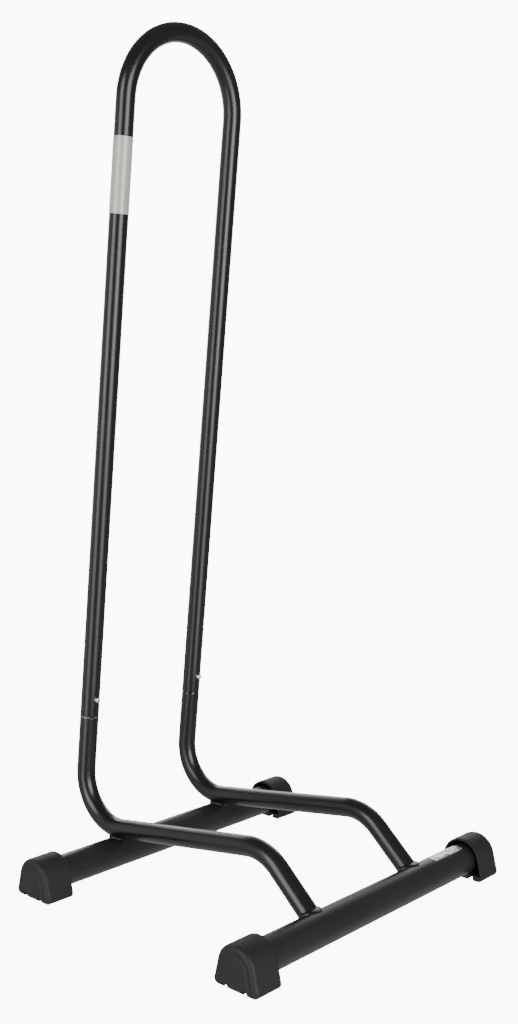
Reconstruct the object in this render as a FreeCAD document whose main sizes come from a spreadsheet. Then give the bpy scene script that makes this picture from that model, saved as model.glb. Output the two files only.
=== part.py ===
import FreeCAD, Part
import math
import os

import Sketcher

# Floor bike rack: an upside-down U of round tube stands on two bent lower frame tubes, which are
# welded to a rear and a front base tube. Four moulded feet close the base tubes. Two spring-loaded
# snap buttons lock the hoop to the lower frame.
#
# Frame: +Z up, floor at Z = 0, the wheel rolls in along Y, the front is -Y, the base tubes lie
# along X. The origin is the middle of the footprint box.

doc = FreeCAD.newDocument("floor_bike_rack")

# ---------------------------------------------------------------------------------------------
# Driving sizes, in millimetres and degrees
# ---------------------------------------------------------------------------------------------
DRIVING = {
    # hoop and lower frame tubes
    "tube_dia": 20.0,
    "tube_wall": 1.2,
    "leg_spacing": 152.0,
    "hoop_leg": 645.0,
    "lean": 6.2,
    "run_rise": 8.8,
    "front_drop": 41.4,
    "rear_bend": 50.0,
    "front_bend": 50.0,
    "leg_stub": 60.0,
    # drawn-down spigot that slips into the hoop leg
    "spigot_length": 55.0,
    "spigot_gap": 0.1,
    "swage_length": 3.0,
    # base tubes
    "base_dia": 32.0,
    "base_wall": 1.5,
    "base_length": 372.0,
    "base_spacing": 283.0,
    # weld beads
    "weld_root": 0.3,
    "weld_width": 3.0,
    # moulded feet
    "axis_height": 19.5,
    "foot_arch": 22.0,
    "foot_flare": 13.8,
    "foot_length": 33.0,
    "foot_wall": 2.2,
    "foot_end": 3.0,
    "foot_floor": 6.0,
    "foot_corner": 5.2,
    "foot_round": 4.5,
    "socket_gap": 0.1,
    "rib_width": 2.0,
    "rib_length": 22.0,
    "rib_count": 7,
    "groove_offset": 11.5,
    "groove_width": 6.0,
    "groove_depth": 4.5,
    # snap buttons and their leaf springs
    "button_dia": 6.0,
    "button_gap": 0.15,
    "button_height": 20.0,
    "button_out": 4.0,
    "button_round": 2.0,
    "rivet_dia": 3.0,
    "rivet_gap": 0.1,
    "rivet_head_dia": 4.6,
    "rivet_head": 0.8,
    "leaf_width": 6.0,
    "leaf_thick": 0.5,
    "leaf_gap": 0.1,
    "leaf_above": 8.0,
    "leaf_below": 14.0,
    # labels
    "label_drop": 38.0,
    "label_length": 76.0,
    "label_thick": 0.2,
    "label_gap": 0.05,
    "badge_gap": 11.5,
    "badge_inset": 4.0,
    "badge_angle": 32.0,
}

sizes = doc.addObject("Spreadsheet::Sheet", "sizes")
for row, (alias, value) in enumerate(DRIVING.items(), start=1):
    sizes.set("A%d" % row, alias)
    sizes.set("B%d" % row, str(value))
    sizes.setAlias("B%d" % row, alias)
doc.recompute()

# ---------------------------------------------------------------------------------------------
# Sizes and places worked out from the driving sizes, as expressions on the sheet
# ---------------------------------------------------------------------------------------------
TUBE_R = "(sizes.tube_dia / 2)"
TUBE_BORE_R = f"({TUBE_R} - sizes.tube_wall)"
SPIGOT_R = f"({TUBE_BORE_R} - sizes.spigot_gap)"
SPIGOT_BORE_R = f"({SPIGOT_R} - sizes.tube_wall)"
SWAGE_R = f"(({TUBE_R} + {TUBE_BORE_R}) / 2)"
BASE_R = "(sizes.base_dia / 2)"
LEG_X = "(sizes.leg_spacing / 2)"

# half the width of a foot: sharp at the floor, then at the widest point of its rounded corner
SHARP_HALF = "((sizes.foot_arch + sizes.axis_height * sin(sizes.foot_flare)) / cos(sizes.foot_flare))"
CORNER_LOSS = "(sizes.foot_corner * (1 / tan((90 - sizes.foot_flare) / 2) - 1))"
FOOT_HALF = f"({SHARP_HALF} - {CORNER_LOSS})"
# the footprint box runs from the front feet to the back of the rear bend
MIDDLE_Y = f"(-(sizes.rear_bend + {TUBE_R} - {FOOT_HALF}) / 2)"
REAR_Y = f"({MIDDLE_Y} + sizes.base_spacing / 2)"
FRONT_Y = f"({MIDDLE_Y} - sizes.base_spacing / 2)"

# the rear bend's centre stands straight above the rear base tube
BEND_RISE = f"({BASE_R} + sizes.weld_root + {TUBE_R} + sizes.rear_bend)"
BEND_Z = f"(sizes.axis_height + {BEND_RISE})"


def along_leg(distance):
    """Y and Z, from the rear bend's centre, of a point on the leg that far above the bend."""
    y = f"(sizes.rear_bend * cos(sizes.lean) - ({distance}) * sin(sizes.lean))"
    z = f"(sizes.rear_bend * sin(sizes.lean) + ({distance}) * cos(sizes.lean))"
    return y, z


SEAM_Y, SEAM_Z = along_leg("sizes.leg_stub")
BUTTON_Y, BUTTON_Z = along_leg("sizes.leg_stub + sizes.button_height")
# the leg label hangs just under the arch
LABEL_Y, LABEL_Z = along_leg(
    "sizes.leg_stub + sizes.hoop_leg - sizes.label_drop - sizes.label_length")
# the base label fills the free stretch between the right front weld and the right foot's mouth
BADGE_X = f"({LEG_X} + {TUBE_R} + sizes.weld_width + sizes.badge_gap)"
MOUTH_X = "(sizes.base_length / 2 + sizes.foot_end - sizes.foot_length)"


def number(expression):
    """The value that an expression on the sheet has now."""
    result = sizes.evalExpression(expression.replace("sizes.", ""))
    return float(getattr(result, "Value", result))


# ---------------------------------------------------------------------------------------------
# Small helpers for bodies, sketches and features
# ---------------------------------------------------------------------------------------------
X_AXIS = FreeCAD.Vector(1, 0, 0)
Z_AXIS = FreeCAD.Vector(0, 0, 1)


def place(thing, x="0", y="0", z="0", turn=None, axis=X_AXIS, prop="Placement"):
    """Bind a placement: a base point and, where turn is given, an angle about one axis."""
    if turn is not None:
        start = FreeCAD.Rotation(axis, number(turn))
        setattr(thing, prop, FreeCAD.Placement(FreeCAD.Vector(), start))
        thing.setExpression(prop + ".Rotation.Angle", turn)
    for name, expression in (("x", x), ("y", y), ("z", z)):
        if expression != "0":
            thing.setExpression(f"{prop}.Base.{name}", expression)


def new_body(name):
    body = doc.addObject("PartDesign::Body", name)
    body.Label = name
    return body


def new_sketch(body, name, plane, **offset):
    """A sketch on one of the body's own origin planes, moved by the given offset."""
    sketch = body.newObject("Sketcher::SketchObject", f"{body.Name}_{name}")
    datum = [item for item in body.Origin.OriginFeatures if item.Role == plane][0]
    sketch.AttachmentSupport = [(datum, "")]
    sketch.MapMode = "FlatFace"
    if offset:
        place(sketch, prop="AttachmentOffset", **offset)
    return sketch


def bound(sketch, name, expression, kind, *where):
    """Add a constraint whose value follows the sheet."""
    index = sketch.addConstraint(Sketcher.Constraint(kind, *where, number(expression)))
    sketch.renameConstraint(index, name)
    sketch.setExpression("Constraints." + name, expression)


def angle_bound(sketch, name, expression, line):
    """Add a line's angle to the sketch's X axis, in degrees on the sheet."""
    value = FreeCAD.Units.Quantity(f"{number(expression)} deg")
    index = sketch.addConstraint(Sketcher.Constraint("Angle", line, value))
    sketch.renameConstraint(index, name)
    sketch.setExpression("Constraints." + name, expression)


def add_circle(sketch, name, radius, x="0", y="0"):
    centre = FreeCAD.Vector(number(x), number(y), 0)
    circle = sketch.addGeometry(Part.Circle(centre, Z_AXIS, number(radius)), False)
    bound(sketch, name + "_radius", radius, "Radius", circle)
    if x == "0" and y == "0":
        sketch.addConstraint(Sketcher.Constraint("Coincident", circle, 3, -1, 1))
    elif y == "0":
        sketch.addConstraint(Sketcher.Constraint("PointOnObject", circle, 3, -1))
        bound(sketch, name + "_x", x, "DistanceX", -1, 1, circle, 3)
    else:
        bound(sketch, name + "_x", x, "DistanceX", -1, 1, circle, 3)
        bound(sketch, name + "_y", y, "DistanceY", -1, 1, circle, 3)
    return circle


def add_box(sketch, name, left, bottom, right, top):
    """A rectangle whose four sides follow the sheet."""
    x0, y0, x1, y1 = number(left), number(bottom), number(right), number(top)
    corners = [FreeCAD.Vector(x0, y0, 0), FreeCAD.Vector(x1, y0, 0),
               FreeCAD.Vector(x1, y1, 0), FreeCAD.Vector(x0, y1, 0)]
    lines = []
    for index in range(4):
        segment = Part.LineSegment(corners[index], corners[(index + 1) % 4])
        lines.append(sketch.addGeometry(segment, False))
    for index in range(4):
        sketch.addConstraint(Sketcher.Constraint("Coincident", lines[index], 2, lines[(index + 1) % 4], 1))
        sketch.addConstraint(Sketcher.Constraint("Vertical" if index % 2 else "Horizontal", lines[index]))
    bound(sketch, name + "_left", left, "DistanceX", -1, 1, lines[0], 1)
    bound(sketch, name + "_right", right, "DistanceX", -1, 1, lines[0], 2)
    bound(sketch, name + "_bottom", bottom, "DistanceY", -1, 1, lines[0], 1)
    bound(sketch, name + "_top", top, "DistanceY", -1, 1, lines[2], 1)


def extrude(body, kind, name, sketch, length, reverse=False, middle=False):
    """A Pad or a Pocket; a Pocket that removes nothing is an error."""
    doc.recompute()
    before = body.Shape.Volume if body.Tip else 0.0
    feature = body.newObject("PartDesign::" + kind, f"{body.Name}_{name}")
    feature.Profile = sketch
    feature.setExpression("Length", length)
    feature.Reversed = reverse
    if middle:
        feature.SideType = "Symmetric"
    body.Tip = feature
    doc.recompute()
    if kind == "Pocket" and body.Shape.Volume > before - 0.001:
        raise RuntimeError(f"{feature.Name} removes nothing")
    return feature


def sweep(body, kind, name, profile, route):
    feature = body.newObject("PartDesign::" + kind, f"{body.Name}_{name}")
    feature.Profile = profile
    feature.Spine = (route, [f"Edge{index + 1}" for index in range(len(route.Geometry))])
    body.Tip = feature
    doc.recompute()
    return feature


def round_edges(body, name, edges, radius):
    base = body.Tip
    feature = body.newObject("PartDesign::Fillet", f"{body.Name}_{name}")
    feature.Base = (base, edges)
    feature.setExpression("Radius", radius)
    body.Tip = feature
    doc.recompute()
    return feature


def edges_where(shape, test):
    """Names of the edges whose bounding box passes the test."""
    return [f"Edge{index}" for index, edge in enumerate(shape.Edges, start=1) if test(edge.BoundBox)]


# ---------------------------------------------------------------------------------------------
# Hoop: one tube, up one leg, over a half-circle arch and down the other leg
# ---------------------------------------------------------------------------------------------
def make_hoop():
    body = new_body("hoop")
    place(body, y=f"{REAR_Y} + {SEAM_Y}", z=f"{BEND_Z} + {SEAM_Z}", turn="sizes.lean")

    route = new_sketch(body, "route", "XZ_Plane")
    leg_x, leg_top = number(LEG_X), number("sizes.hoop_leg")
    left_foot, left_top = FreeCAD.Vector(-leg_x, 0, 0), FreeCAD.Vector(-leg_x, leg_top, 0)
    right_foot, right_top = FreeCAD.Vector(leg_x, 0, 0), FreeCAD.Vector(leg_x, leg_top, 0)
    crown = FreeCAD.Vector(0, leg_top + leg_x, 0)
    left = route.addGeometry(Part.LineSegment(left_foot, left_top), False)
    arch = route.addGeometry(Part.Arc(left_top, crown, right_top), False)
    right = route.addGeometry(Part.LineSegment(right_top, right_foot), False)
    # the arc runs anticlockwise, from the right leg's top to the left leg's top
    route.addConstraint(Sketcher.Constraint("Tangent", left, 2, arch, 2))
    route.addConstraint(Sketcher.Constraint("Tangent", arch, 1, right, 1))
    route.addConstraint(Sketcher.Constraint("Vertical", left))
    route.addConstraint(Sketcher.Constraint("Vertical", right))
    route.addConstraint(Sketcher.Constraint("PointOnObject", left, 1, -1))
    route.addConstraint(Sketcher.Constraint("PointOnObject", right, 2, -1))
    route.addConstraint(Sketcher.Constraint("PointOnObject", arch, 3, -2))
    bound(route, "arch_radius", LEG_X, "Radius", arch)
    bound(route, "leg_length", "sizes.hoop_leg", "DistanceY", left, 1, left, 2)

    skin = new_sketch(body, "skin", "XY_Plane")
    add_circle(skin, "skin", TUBE_R, x=f"-{LEG_X}")
    doc.recompute()
    sweep(body, "AdditivePipe", "tube", skin, route)
    bore = new_sketch(body, "bore", "XY_Plane")
    add_circle(bore, "bore", TUBE_BORE_R, x=f"-{LEG_X}")
    doc.recompute()
    sweep(body, "SubtractivePipe", "hollow", bore, route)

    holes = new_sketch(body, "holes", "XZ_Plane")
    for side, x in (("left", f"-{LEG_X}"), ("right", LEG_X)):
        add_circle(holes, side, "sizes.button_dia / 2 + sizes.button_gap", x=x, y="sizes.button_height")
    extrude(body, "Pocket", "button_holes", holes, "sizes.tube_dia", reverse=True)
    return body


# ---------------------------------------------------------------------------------------------
# Lower frame tubes: spigot, leg stub, rear bend, rising run, front bend and drop to the front tube
# ---------------------------------------------------------------------------------------------
def make_lower_frame(name, x):
    body = new_body(name)
    place(body, x=x, y=REAR_Y, z=BEND_Z)

    lean, rise, drop = number("sizes.lean"), number("sizes.run_rise"), number("sizes.front_drop")
    rear, front = number("sizes.rear_bend"), number("sizes.front_bend")

    def aim(degrees):
        return FreeCAD.Rotation(Z_AXIS, degrees).multVec(X_AXIS)

    # the run and the drop meet at a corner, which the front bend rounds off
    end = FreeCAD.Vector(-number("sizes.base_spacing"), -number(BEND_RISE), 0)
    stub_low = aim(lean) * rear
    stub_high = stub_low + aim(90 + lean) * number("sizes.leg_stub")
    run_back = aim(-90 - rise) * rear
    ahead, back = aim(180 - rise), aim(drop)
    gap = end - run_back
    reach = (gap.x * back.y - gap.y * back.x) / (ahead.x * back.y - ahead.y * back.x)
    corner = run_back + ahead * reach
    setback = front * math.tan(math.radians((rise + drop) / 2))
    run_front = corner - ahead * setback
    drop_high = corner - back * setback
    hub = run_front - aim(90 - rise) * front

    route = new_sketch(body, "route", "YZ_Plane")
    stub = route.addGeometry(Part.LineSegment(stub_high, stub_low), False)
    rear_mid = aim((lean - 90 - rise) / 2) * rear
    rear_arc = route.addGeometry(Part.Arc(stub_low, rear_mid, run_back), False)
    run = route.addGeometry(Part.LineSegment(run_back, run_front), False)
    front_mid = hub + aim(90 + (drop - rise) / 2) * front
    front_arc = route.addGeometry(Part.Arc(run_front, front_mid, drop_high), False)
    fall = route.addGeometry(Part.LineSegment(end, drop_high), False)
    # the rear arc runs anticlockwise from the run up to the stub, the front arc from run to drop
    route.addConstraint(Sketcher.Constraint("Coincident", rear_arc, 3, -1, 1))
    route.addConstraint(Sketcher.Constraint("Tangent", stub, 2, rear_arc, 2))
    route.addConstraint(Sketcher.Constraint("Tangent", rear_arc, 1, run, 1))
    route.addConstraint(Sketcher.Constraint("Tangent", run, 2, front_arc, 1))
    route.addConstraint(Sketcher.Constraint("Tangent", front_arc, 2, fall, 2))
    bound(route, "rear_bend", "sizes.rear_bend", "Radius", rear_arc)
    bound(route, "front_bend", "sizes.front_bend", "Radius", front_arc)
    bound(route, "leg_stub", "sizes.leg_stub", "Distance", stub, 1, stub, 2)
    angle_bound(route, "lean", "sizes.lean - 90", stub)
    angle_bound(route, "run_rise", "180 - sizes.run_rise", run)
    angle_bound(route, "front_drop", "sizes.front_drop", fall)
    bound(route, "end_y", "-sizes.base_spacing", "DistanceX", -1, 1, fall, 1)
    bound(route, "end_z", f"-{BEND_RISE}", "DistanceY", -1, 1, fall, 1)

    at_seam = {"y": SEAM_Y, "z": SEAM_Z, "turn": "sizes.lean"}
    skin = new_sketch(body, "skin", "XY_Plane", **at_seam)
    add_circle(skin, "skin", TUBE_R)
    doc.recompute()
    sweep(body, "AdditivePipe", "tube", skin, route)
    bore = new_sketch(body, "bore", "XY_Plane", **at_seam)
    add_circle(bore, "bore", TUBE_BORE_R)
    doc.recompute()
    sweep(body, "SubtractivePipe", "hollow", bore, route)

    # the top end is drawn down: a thick collar under the shoulder, then the spigot
    collar = new_sketch(body, "collar", "XY_Plane", **at_seam)
    add_circle(collar, "collar", SWAGE_R)
    extrude(body, "Pad", "swage", collar, "sizes.swage_length", reverse=True)
    spigot = new_sketch(body, "spigot", "XY_Plane", **at_seam)
    add_circle(spigot, "spigot", SPIGOT_R)
    extrude(body, "Pad", "drawn_end", spigot, "sizes.spigot_length")
    inside = new_sketch(body, "inside", "XY_Plane", **at_seam)
    add_circle(inside, "inside", SPIGOT_BORE_R)
    extrude(body, "Pocket", "drawn_bore", inside, "2 * sizes.spigot_length", middle=True)

    # the front end is coped to sit round the front base tube
    cope = new_sketch(body, "cope", "YZ_Plane")
    add_circle(cope, "cope", f"{BASE_R} + sizes.weld_root", x="-sizes.base_spacing", y=f"-{BEND_RISE}")
    extrude(body, "Pocket", "coped_end", cope, "2 * sizes.tube_dia", middle=True)

    hole = new_sketch(body, "hole", "XZ_Plane", y=BUTTON_Z, z=f"-{BUTTON_Y}", turn="sizes.lean")
    add_circle(hole, "hole", "sizes.button_dia / 2 + sizes.button_gap")
    extrude(body, "Pocket", "button_hole", hole, "sizes.tube_dia", reverse=True)
    return body


# ---------------------------------------------------------------------------------------------
# Base tubes: straight round tubes, open at both ends
# ---------------------------------------------------------------------------------------------
def make_base_tube(name, y):
    body = new_body(name)
    place(body, y=y, z="sizes.axis_height")
    ring = new_sketch(body, "ring", "YZ_Plane")
    add_circle(ring, "skin", BASE_R)
    add_circle(ring, "bore", f"{BASE_R} - sizes.base_wall")
    extrude(body, "Pad", "tube", ring, "sizes.base_length", middle=True)
    return body


# ---------------------------------------------------------------------------------------------
# Feet: moulded caps with an arch over the tube, flared sides and a flat sole
# ---------------------------------------------------------------------------------------------
def add_arch_outline(sketch, radius, bottom):
    """An arch centred on the tube, with sides that flare down to a flat bottom."""
    size, low, flare = number(radius), number(bottom), number("sizes.foot_flare")
    right_high = FreeCAD.Rotation(Z_AXIS, flare).multVec(X_AXIS) * size
    left_high = FreeCAD.Vector(-right_high.x, right_high.y, 0)
    down = FreeCAD.Rotation(Z_AXIS, flare - 90).multVec(X_AXIS)
    right_low = right_high + down * ((low - right_high.y) / down.y)
    left_low = FreeCAD.Vector(-right_low.x, low, 0)
    arch = sketch.addGeometry(Part.Arc(right_high, FreeCAD.Vector(0, size, 0), left_high), False)
    left = sketch.addGeometry(Part.LineSegment(left_high, left_low), False)
    sole = sketch.addGeometry(Part.LineSegment(left_low, right_low), False)
    right = sketch.addGeometry(Part.LineSegment(right_low, right_high), False)
    sketch.addConstraint(Sketcher.Constraint("Coincident", arch, 3, -1, 1))
    sketch.addConstraint(Sketcher.Constraint("Tangent", arch, 2, left, 1))
    sketch.addConstraint(Sketcher.Constraint("Tangent", right, 2, arch, 1))
    sketch.addConstraint(Sketcher.Constraint("Coincident", left, 2, sole, 1))
    sketch.addConstraint(Sketcher.Constraint("Coincident", sole, 2, right, 1))
    sketch.addConstraint(Sketcher.Constraint("Symmetric", sole, 1, sole, 2, -2))
    bound(sketch, "arch_radius", radius, "Radius", arch)
    bound(sketch, "sole_level", bottom, "DistanceY", -1, 1, sole, 1)
    angle_bound(sketch, "flare", "90 + sizes.foot_flare", right)


def make_foot(name, side, y):
    """A foot, made with its closed end towards +X and its inner end face at the tube's end."""
    body = new_body(name)
    place(body, x=f"{side} * sizes.base_length / 2", y=y, z="sizes.axis_height")
    if side < 0:
        body.Placement = FreeCAD.Placement(body.Placement.Base, FreeCAD.Rotation(Z_AXIS, 180))

    outline = new_sketch(body, "outline", "YZ_Plane", z="sizes.foot_end")
    add_arch_outline(outline, "sizes.foot_arch", "-sizes.axis_height")
    block = extrude(body, "Pad", "block", outline, "sizes.foot_length", reverse=True)
    sole = -number("sizes.axis_height")
    long_low = edges_where(block.Shape, lambda box: box.XLength > 1 and box.ZMax < sole + 0.01)
    round_edges(body, "sole_corners", long_low, "sizes.foot_corner")
    end = number("sizes.foot_end")
    outer = edges_where(body.Tip.Shape, lambda box: box.XMin > end - 0.01)
    round_edges(body, "end_round", outer, "sizes.foot_round")

    cavity = new_sketch(body, "cavity", "YZ_Plane")
    add_arch_outline(cavity, "sizes.foot_arch - sizes.foot_wall", "sizes.foot_floor - sizes.axis_height")
    extrude(body, "Pocket", "hollow", cavity, "sizes.foot_length")
    socket = new_sketch(body, "socket", "YZ_Plane")
    add_circle(socket, "socket", f"{BASE_R} + sizes.socket_gap")
    extrude(body, "Pocket", "seat", socket, "sizes.foot_length")

    grooves = new_sketch(body, "grooves", "YZ_Plane")
    for name_side, sign in (("left", "-"), ("right", "")):
        add_box(grooves, name_side, f"{sign}sizes.groove_offset - sizes.groove_width / 2",
                "-sizes.axis_height - sizes.groove_depth",
                f"{sign}sizes.groove_offset + sizes.groove_width / 2",
                "-sizes.axis_height + sizes.groove_depth")
    extrude(body, "Pocket", "sole_grooves", grooves, "3 * sizes.foot_length", middle=True)

    # ribs that grip the tube, fanned over the arch
    rib = new_sketch(body, "rib", "YZ_Plane")
    add_box(rib, "rib", f"{BASE_R} + sizes.socket_gap", "-sizes.rib_width / 2",
            "sizes.foot_arch - sizes.foot_wall / 2", "sizes.rib_width / 2")
    first = extrude(body, "Pad", "rib_pad", rib, "sizes.rib_length", reverse=True)
    fan = body.newObject("PartDesign::PolarPattern", f"{body.Name}_ribs")
    fan.Originals = [first]
    fan.Axis = (rib, ["N_Axis"])
    fan.Angle = 180
    fan.setExpression("Occurrences", "sizes.rib_count")
    body.Tip = fan
    doc.recompute()
    return body


# ---------------------------------------------------------------------------------------------
# Snap buttons: a round pin riveted to the front arm of a U-shaped leaf inside the spigot
# ---------------------------------------------------------------------------------------------
# distance from the leg's axis to the leaf's outer face, where its edges meet the spigot's bore
LEAF_OUT = f"(sqrt({SPIGOT_BORE_R} ^ 2 - (sizes.leaf_width / 2) ^ 2) - sizes.leaf_gap)"
LEAF_IN = f"({LEAF_OUT} - sizes.leaf_thick)"
LEAF_MID = f"({LEAF_OUT} - sizes.leaf_thick / 2)"
BUTTON_TIP = f"({TUBE_R} + sizes.button_out)"


def make_button(name, x):
    """The pin, turned about the axis that points out of the leg's front."""
    body = new_body(name)
    place(body, x=x, y=f"{REAR_Y} + {BUTTON_Y}", z=f"{BEND_Z} + {BUTTON_Z}", turn="sizes.lean")
    steps = (("rivet_head", "sizes.rivet_head_dia / 2", f"{LEAF_IN} - sizes.rivet_head", LEAF_IN),
             ("shank", "sizes.rivet_dia / 2", LEAF_IN, LEAF_OUT),
             ("pin", "sizes.button_dia / 2", LEAF_OUT, BUTTON_TIP))
    for step, radius, start, stop in steps:
        disc = new_sketch(body, step, "XZ_Plane", z=start)
        add_circle(disc, step, radius)
        extrude(body, "Pad", step + "_pad", disc, f"{stop} - ({start})")
    tip = -number(BUTTON_TIP)
    rim = edges_where(body.Tip.Shape, lambda box: box.YMax < tip + 0.01)
    round_edges(body, "tip_round", rim, "sizes.button_round")
    return body


def make_spring(name, x):
    """The leaf: down the front wall of the spigot, round a half circle and up the back wall."""
    body = new_body(name)
    place(body, x=x, y=f"{REAR_Y} + {BUTTON_Y}", z=f"{BEND_Z} + {BUTTON_Z}", turn="sizes.lean")
    arm, top, low = number(LEAF_MID), number("sizes.leaf_above"), -number("sizes.leaf_below")
    front_top, front_low = FreeCAD.Vector(-arm, top, 0), FreeCAD.Vector(-arm, low, 0)
    back_top, back_low = FreeCAD.Vector(arm, top, 0), FreeCAD.Vector(arm, low, 0)
    route = new_sketch(body, "route", "YZ_Plane")
    front = route.addGeometry(Part.LineSegment(front_top, front_low), False)
    bend = route.addGeometry(Part.Arc(front_low, FreeCAD.Vector(0, low - arm, 0), back_low), False)
    back = route.addGeometry(Part.LineSegment(back_low, back_top), False)
    route.addConstraint(Sketcher.Constraint("Tangent", front, 2, bend, 1))
    route.addConstraint(Sketcher.Constraint("Tangent", bend, 2, back, 1))
    route.addConstraint(Sketcher.Constraint("Vertical", front))
    route.addConstraint(Sketcher.Constraint("Vertical", back))
    route.addConstraint(Sketcher.Constraint("PointOnObject", bend, 3, -2))
    route.addConstraint(Sketcher.Constraint("Horizontal", front, 1, back, 2))
    bound(route, "arm_reach", LEAF_MID, "Radius", bend)
    bound(route, "arm_top", "sizes.leaf_above", "DistanceY", -1, 1, front, 1)
    bound(route, "arm_low", "-sizes.leaf_below", "DistanceY", -1, 1, front, 2)
    strip = new_sketch(body, "strip", "XY_Plane", z="sizes.leaf_above")
    add_box(strip, "strip", "-sizes.leaf_width / 2", f"-{LEAF_OUT}", "sizes.leaf_width / 2", f"-{LEAF_IN}")
    doc.recompute()
    sweep(body, "AdditivePipe", "leaf", strip, route)
    hole = new_sketch(body, "hole", "XZ_Plane")
    add_circle(hole, "hole", "sizes.rivet_dia / 2 + sizes.rivet_gap")
    extrude(body, "Pocket", "rivet_hole", hole, LEAF_OUT + " + sizes.leaf_thick", reverse=True)
    return body


# ---------------------------------------------------------------------------------------------
# Weld beads: what lies within one bead width of both tubes, and inside neither of them
# ---------------------------------------------------------------------------------------------
def primitive(kind, name, radius_property, radius, length_property=None, length=None):
    solid = doc.addObject("Part::" + kind, name)
    solid.setExpression(radius_property, radius)
    if length is not None:
        solid.setExpression(length_property, length)
    return solid


def bead(name, grown_frame, frame_tube, grown_base, base_tube):
    overlap = doc.addObject("Part::Common", name + "_overlap")
    overlap.Base = grown_frame
    overlap.Tool = grown_base
    trimmed = doc.addObject("Part::Cut", name + "_trimmed")
    trimmed.Base = overlap
    trimmed.Tool = frame_tube
    weld = doc.addObject("Part::Cut", name)
    weld.Base = trimmed
    weld.Tool = base_tube
    weld.Label = name
    doc.recompute()
    return weld


GROWN_BASE_R = f"{BASE_R} + sizes.weld_width"
GROWN_TUBE_R = f"{TUBE_R} + sizes.weld_width"
BEAD_SPAN = "(sizes.tube_dia + 4 * sizes.weld_width)"


def base_rod(name, radius, x, y):
    """A rod on a base tube's axis, as long as a bead needs, centred on one leg's plane."""
    rod = primitive("Cylinder", name, "Radius", radius, "Height", BEAD_SPAN)
    rod.Placement = FreeCAD.Placement(FreeCAD.Vector(), FreeCAD.Rotation(FreeCAD.Vector(0, 1, 0), 90))
    place(rod, x=f"{x} - {BEAD_SPAN} / 2", y=y, z="sizes.axis_height")
    return rod


def make_rear_weld(name, x):
    rings = []
    for part, radius in (("grown", GROWN_TUBE_R), ("tube", TUBE_R)):
        ring = primitive("Torus", f"{name}_{part}_bend", "Radius1", "sizes.rear_bend", "Radius2", radius)
        ring.Placement = FreeCAD.Placement(FreeCAD.Vector(), FreeCAD.Rotation(FreeCAD.Vector(0, 1, 0), 90))
        place(ring, x=x, y=REAR_Y, z=BEND_Z)
        rings.append(ring)
    grown = base_rod(name + "_grown_base", GROWN_BASE_R, x, REAR_Y)
    plain = base_rod(name + "_base", BASE_R, x, REAR_Y)
    return bead(name, rings[0], rings[1], grown, plain)


def make_front_weld(name, x):
    rods = []
    for part, radius in (("grown", GROWN_TUBE_R), ("tube", TUBE_R)):
        rod = primitive("Cylinder", f"{name}_{part}_drop", "Radius", radius, "Height", "sizes.base_dia")
        place(rod, x=x, y=FRONT_Y, z="sizes.axis_height", turn="sizes.front_drop - 90")
        rods.append(rod)
    grown = base_rod(name + "_grown_base", GROWN_BASE_R, x, FRONT_Y)
    plain = base_rod(name + "_base", BASE_R, x, FRONT_Y)
    return bead(name, rods[0], rods[1], grown, plain)


# ---------------------------------------------------------------------------------------------
# Labels: a bare sleeve round the left leg and a bare foil patch on the front base tube
# ---------------------------------------------------------------------------------------------
def make_leg_label():
    body = new_body("leg_label")
    place(body, x=f"-{LEG_X}", y=f"{REAR_Y} + {LABEL_Y}", z=f"{BEND_Z} + {LABEL_Z}", turn="sizes.lean")
    ring = new_sketch(body, "ring", "XY_Plane")
    add_circle(ring, "inner", f"{TUBE_R} + sizes.label_gap")
    add_circle(ring, "outer", f"{TUBE_R} + sizes.label_gap + sizes.label_thick")
    extrude(body, "Pad", "sleeve", ring, "sizes.label_length")
    return body


def make_base_label():
    """A strip bent over the top of the tube, as wide as the angle on each side of the crown."""
    body = new_body("base_label")
    place(body, x=BADGE_X, y=FRONT_Y, z="sizes.axis_height")
    low_r = f"{BASE_R} + sizes.label_gap"
    high_r = f"{BASE_R} + sizes.label_gap + sizes.label_thick"
    angle = number("sizes.badge_angle")
    strip = new_sketch(body, "strip", "YZ_Plane")
    arcs = []
    for radius in (number(low_r), number(high_r)):
        right = FreeCAD.Rotation(Z_AXIS, 90 - angle).multVec(X_AXIS) * radius
        left = FreeCAD.Vector(-right.x, right.y, 0)
        arcs.append(strip.addGeometry(Part.Arc(right, FreeCAD.Vector(0, radius, 0), left), False))
    inner, outer = arcs
    ends = []
    for point in (1, 2):
        low, high = strip.getPoint(inner, point), strip.getPoint(outer, point)
        edge = strip.addGeometry(Part.LineSegment(low, high), False)
        strip.addConstraint(Sketcher.Constraint("Coincident", edge, 1, inner, point))
        strip.addConstraint(Sketcher.Constraint("Coincident", edge, 2, outer, point))
        strip.addConstraint(Sketcher.Constraint("PointOnObject", -1, 1, edge))
        ends.append(edge)
    strip.addConstraint(Sketcher.Constraint("Coincident", inner, 3, -1, 1))
    strip.addConstraint(Sketcher.Constraint("Coincident", outer, 3, -1, 1))
    bound(strip, "inner_radius", low_r, "Radius", inner)
    bound(strip, "outer_radius", high_r, "Radius", outer)
    angle_bound(strip, "right_end", "90 - sizes.badge_angle", ends[0])
    angle_bound(strip, "left_end", "90 + sizes.badge_angle", ends[1])
    extrude(body, "Pad", "foil", strip, f"{MOUTH_X} - sizes.badge_inset - {BADGE_X}")
    return body


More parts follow.
